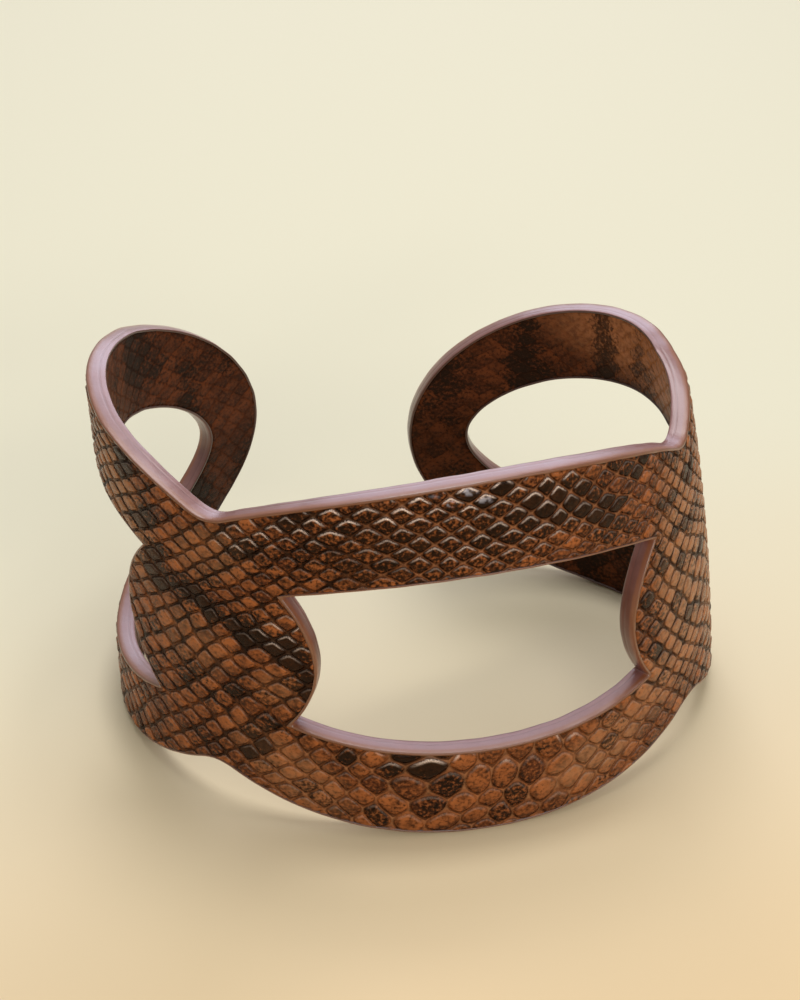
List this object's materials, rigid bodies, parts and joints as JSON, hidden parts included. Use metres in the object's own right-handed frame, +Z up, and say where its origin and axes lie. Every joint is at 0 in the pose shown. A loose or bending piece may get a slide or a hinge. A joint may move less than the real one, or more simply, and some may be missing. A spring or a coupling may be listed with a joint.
{
  "type": "leather cuff bracelet",
  "caption": "Open leather cuff for the wrist, cut as overlapping pierced rings and bent to an oval, with painted rounded edges.",
  "frame": {"origin": "on the table, under the middle of the cuff's box", "axes": "+Z up, the wrist axis; +X to the wearer's side, across the front; the window and the front ring face -Y, the open gap +Y"},
  "size_m": [0.065, 0.0516, 0.0385],
  "materials": {
    "outer_leather": "glossy snake-embossed leather, dark saddle marks on orange-brown, mauve-brown painted edge",
    "lining_leather": "glossy snake-embossed leather, dark warm brown"
  },
  "bodies": {
    "root": {"outer_leather": "outer_leather", "lining_leather": "lining_leather"}
  },
  "joints": []
}
